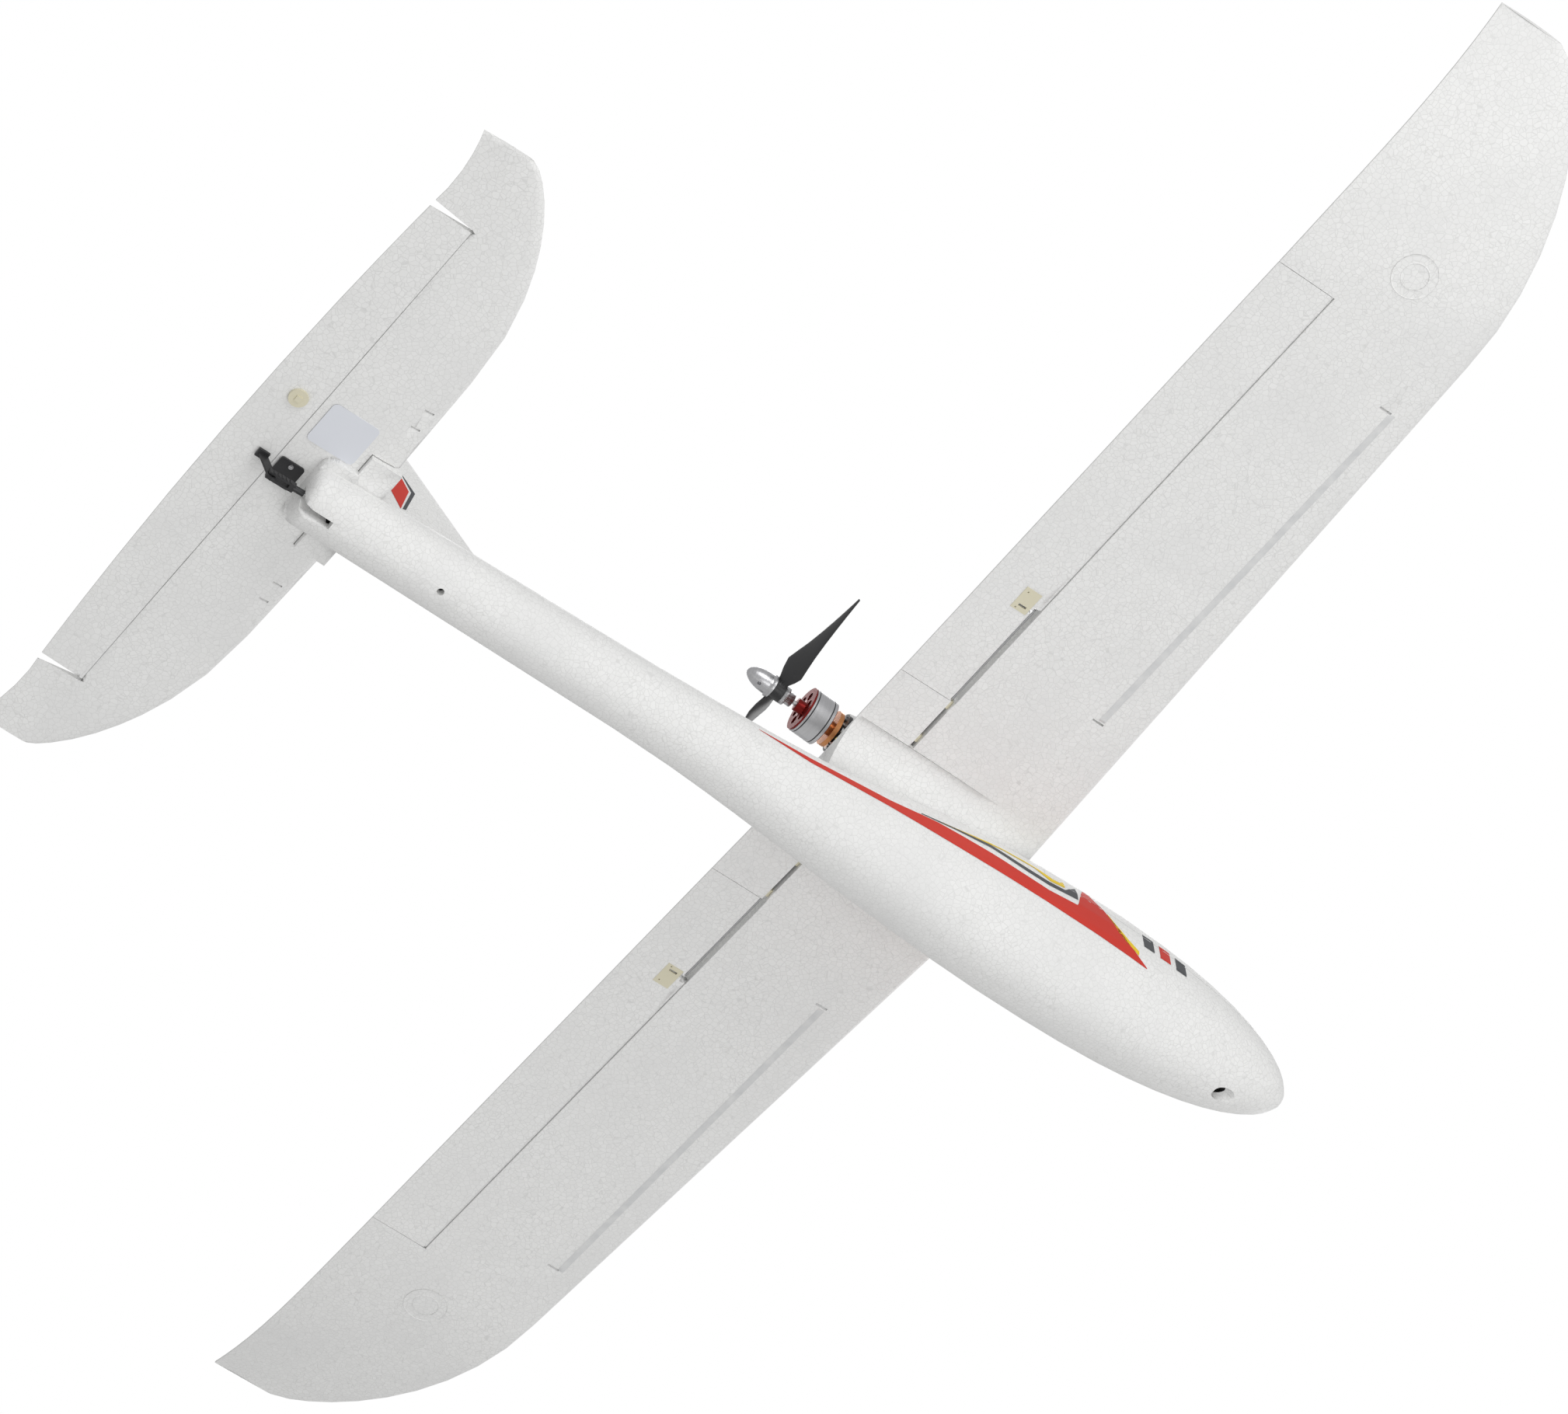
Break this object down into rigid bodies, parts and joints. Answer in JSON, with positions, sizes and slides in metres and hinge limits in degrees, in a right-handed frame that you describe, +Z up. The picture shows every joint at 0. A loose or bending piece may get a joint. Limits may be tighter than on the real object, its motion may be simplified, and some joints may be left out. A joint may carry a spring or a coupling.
{
  "type": "powered foam glider",
  "caption": "Radio-controlled moulded foam glider with a pusher motor on a pylon, ailerons, elevator, rudder and a lift-off canopy.",
  "frame": {"origin": "on the ground plane under the middle of the length and the span, belly at z = 0", "axes": "+X to the nose, +Y to the left wing tip, +Z up"},
  "size_m": [0.85, 1.3674, 0.183],
  "materials": {
    "foam": "moulded expanded foam, fine bead texture",
    "carbon": "pultruded carbon",
    "cream_plastic": "moulded cream plastic",
    "black_plastic": "black moulded nylon",
    "plywood": "thin plywood",
    "steel": "bright steel",
    "aluminium": "turned aluminium",
    "red_anodised": "turned can with a red anodised end",
    "winding": "varnished winding and tan sleeve",
    "wire": "silicone lead",
    "battery": "shrink wrapped cells",
    "circuit": "shrink wrapped circuit",
    "servo_case": "dark blue case",
    "white_plastic": "white nylon",
    "strap": "hook and loop strap",
    "sticker": "blank satin label",
    "propeller": "satin black propeller"
  },
  "bodies": {
    "airframe": {"fuselage_left": "foam", "fuselage_right": "foam", "left_wing": "foam", "right_wing": "foam", "left_wing_spar": "carbon", "right_wing_spar": "carbon", "wing_joiner": "carbon", "stabilizer": "foam", "stabilizer_spar": "carbon", "fin": "foam", "battery_tray": "plywood", "battery_pack": "battery", "battery_strap": "strap", "speed_controller": "circuit", "receiver": "circuit", "servo_tray": "plywood", "aileron_servo_tray": "plywood", "elevator_servo": "servo_case", "rudder_servo": "servo_case", "aileron_servo": "servo_case", "motor_mount": "black_plastic", "mount_screws": "steel", "motor_stator": "winding", "motor_leads": "wire", "elevator_guide": "cream_plastic", "rudder_guide": "cream_plastic", "left_rod_sleeves": "cream_plastic", "right_rod_sleeves": "cream_plastic", "bay_magnets": "steel", "blank_sticker": "sticker", "tail_plate": "black_plastic", "tail_screw": "steel"},
    "canopy": {"canopy": "foam", "canopy_magnets": "steel"},
    "rotor": {"motor_bell": "red_anodised", "motor_shaft": "steel", "prop_adapter": "aluminium", "propeller": "propeller", "spinner_nut": "aluminium"},
    "left_aileron": {"left_aileron": "foam", "left_aileron_plate": "cream_plastic", "left_torque_rod": "steel"},
    "right_aileron": {"right_aileron": "foam", "right_aileron_plate": "cream_plastic", "right_torque_rod": "steel"},
    "elevator": {"elevator": "foam", "elevator_horn": "black_plastic", "elevator_plug": "cream_plastic"},
    "rudder": {"rudder": "foam", "rudder_horn": "black_plastic"},
    "elevator_rod": {"elevator_pushrod": "steel", "elevator_clevis": "black_plastic"},
    "rudder_rod": {"rudder_pushrod": "steel", "rudder_clevis": "black_plastic"},
    "elevator_arm": {"elevator_servo_arm": "white_plastic"},
    "rudder_arm": {"rudder_servo_arm": "white_plastic"},
    "aileron_arm": {"aileron_servo_arm": "white_plastic"},
    "left_link": {"left_aileron_link": "steel"},
    "right_link": {"right_aileron_link": "steel"}
  },
  "joints": [
    {"name": "rotor_spin", "type": "hinge", "parent": "airframe", "child": "rotor", "pos_m": [0.008, 0, 0.157], "axis": [-0.9925, 0, 0.1219], "continuous": true},
    {"name": "canopy_lift", "type": "slide", "parent": "airframe", "child": "canopy", "axis": [0.0523, 0, 0.9986], "range_m": [0, 0.07]},
    {"name": "left_aileron_hinge", "type": "hinge", "parent": "airframe", "child": "left_aileron", "pos_m": [0.074, 0.28981, 0.09819], "axis": [0, 0.9997, 0.0262], "range_deg": [-20, 20]},
    {"name": "right_aileron_hinge", "type": "hinge", "parent": "airframe", "child": "right_aileron", "pos_m": [0.074, -0.28981, 0.09819], "axis": [0, 0.9997, -0.0262], "range_deg": [-20.2, 20.2]},
    {"name": "elevator_hinge", "type": "hinge", "parent": "airframe", "child": "elevator", "pos_m": [-0.389, 0, 0.067], "axis": [0, 1, 0], "range_deg": [-20, 20]},
    {"name": "rudder_hinge", "type": "hinge", "parent": "airframe", "child": "rudder", "pos_m": [-0.38, 0, 0.075], "axis": [0.1465, 0, 0.9892], "range_deg": [-25, 25]},
    {"name": "elevator_rod_slide", "type": "slide", "parent": "airframe", "child": "elevator_rod", "axis": [0.9997, -0.0154, 0.0211], "range_m": [-0.0075, 0.0075]},
    {"name": "rudder_rod_slide", "type": "slide", "parent": "airframe", "child": "rudder_rod", "axis": [0.9968, 0.0195, -0.0781], "range_m": [-0.006, 0.006]},
    {"name": "elevator_arm_turn", "type": "hinge", "parent": "airframe", "child": "elevator_arm", "pos_m": [0.132, -0.019, 0.053], "axis": [0, 0, 1], "range_deg": [-42, 42]},
    {"name": "rudder_arm_turn", "type": "hinge", "parent": "airframe", "child": "rudder_arm", "pos_m": [0.132, 0.012, 0.045], "axis": [0, 0, 1], "range_deg": [-31, 31]},
    {"name": "aileron_arm_turn", "type": "hinge", "parent": "airframe", "child": "aileron_arm", "pos_m": [0.095, 0, 0.076], "axis": [0, 0, 1], "range_deg": [-18, 18]},
    {"name": "left_link_slide", "type": "slide", "parent": "airframe", "child": "left_link", "axis": [1, 0, 0], "range_m": [-0.0045, 0.0045]},
    {"name": "right_link_slide", "type": "slide", "parent": "airframe", "child": "right_link", "axis": [1, 0, 0], "range_m": [-0.0045, 0.0045]}
  ],
  "couplings": [
    {"joint": "right_aileron_hinge", "follows": "left_aileron_hinge", "ratio": -1},
    {"joint": "aileron_arm_turn", "follows": "left_aileron_hinge", "ratio": 0.8571},
    {"joint": "left_link_slide", "follows": "left_aileron_hinge", "m_per_rad": -0.012},
    {"joint": "right_link_slide", "follows": "left_aileron_hinge", "m_per_rad": 0.012},
    {"joint": "elevator_rod_slide", "follows": "elevator_hinge", "m_per_rad": -0.02},
    {"joint": "elevator_arm_turn", "follows": "elevator_hinge", "ratio": 2},
    {"joint": "rudder_rod_slide", "follows": "rudder_hinge", "m_per_rad": -0.0119},
    {"joint": "rudder_arm_turn", "follows": "rudder_hinge", "ratio": 1.19}
  ]
}
